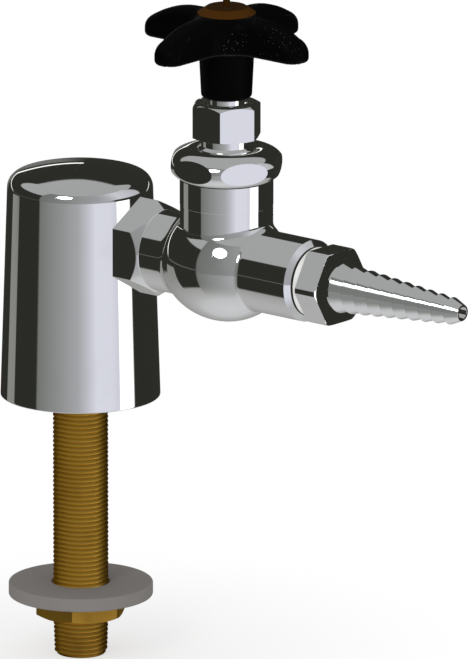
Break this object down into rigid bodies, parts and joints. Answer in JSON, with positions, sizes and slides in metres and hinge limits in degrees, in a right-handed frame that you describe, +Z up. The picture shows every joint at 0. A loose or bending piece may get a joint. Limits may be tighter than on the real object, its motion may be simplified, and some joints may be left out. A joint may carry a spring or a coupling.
{
  "type": "deck-mounted laboratory gas tap",
  "caption": "Chromed turret tap with a side needle valve, a four-arm handle and a serrated hose nozzle; threaded brass shank with washer and locknut clamps it to a bench.",
  "frame": {"origin": "centre of the turret's base ring, at the level of the deck it stands on", "axes": "+Z up along the shank and turret, +X along the valve's arm to the hose nozzle, +Y to the side"},
  "size_m": [0.1784, 0.0624, 0.217],
  "materials": {
    "chrome": "polished plating",
    "plated_brass": "plated, turned",
    "brass": "bare, machined",
    "steel": "bright, turned",
    "grey_rubber": "matt moulded",
    "black_rubber": "matt",
    "fibre": "vulcanised fibre",
    "packing": "soft white packing",
    "black_plastic": "fine grained, moulded",
    "amber_plastic": "satin moulded"
  },
  "bodies": {
    "tap": {"turret_body": "chrome", "supply_shank": "brass", "inlet_nipple": "plated_brass", "valve_body": "chrome", "valve_seat": "steel", "seat_gasket": "fibre", "bonnet": "chrome", "bonnet_gasket": "fibre", "bonnet_nut": "chrome", "packing_rings": "packing", "packing_gland": "brass", "packing_nut": "chrome", "hose_nozzle": "chrome", "nozzle_seal": "black_rubber"},
    "needle": {"needle_cone": "steel", "needle_clip": "steel"},
    "spindle": {"spindle": "chrome", "handle": "black_plastic", "lock_washer": "steel", "handle_screw": "steel", "index_button": "amber_plastic"},
    "washer": {"deck_washer": "grey_rubber"},
    "locknut": {"locknut": "brass"}
  },
  "joints": [
    {"name": "needle_lift", "type": "slide", "parent": "tap", "child": "needle", "axis": [0, 0, 1], "range_m": [0, 0.00381]},
    {"name": "handle_turn", "type": "hinge", "parent": "needle", "child": "spindle", "pos_m": [0.0588, 0, 0.1], "axis": [0, 0, 1], "range_deg": [0, 1080]},
    {"name": "washer_slide", "type": "slide", "parent": "tap", "child": "washer", "axis": [0, 0, 1], "range_m": [-0.012, 0.056]},
    {"name": "locknut_turn", "type": "hinge", "parent": "washer", "child": "locknut", "pos_m": [0, 0, -0.066], "axis": [0, 0, 1], "range_deg": [-3000, 14000]}
  ],
  "couplings": [
    {"joint": "needle_lift", "follows": "handle_turn", "m_per_rad": 0.00020213},
    {"joint": "washer_slide", "follows": "locknut_turn", "m_per_rad": 0.00022457}
  ]
}
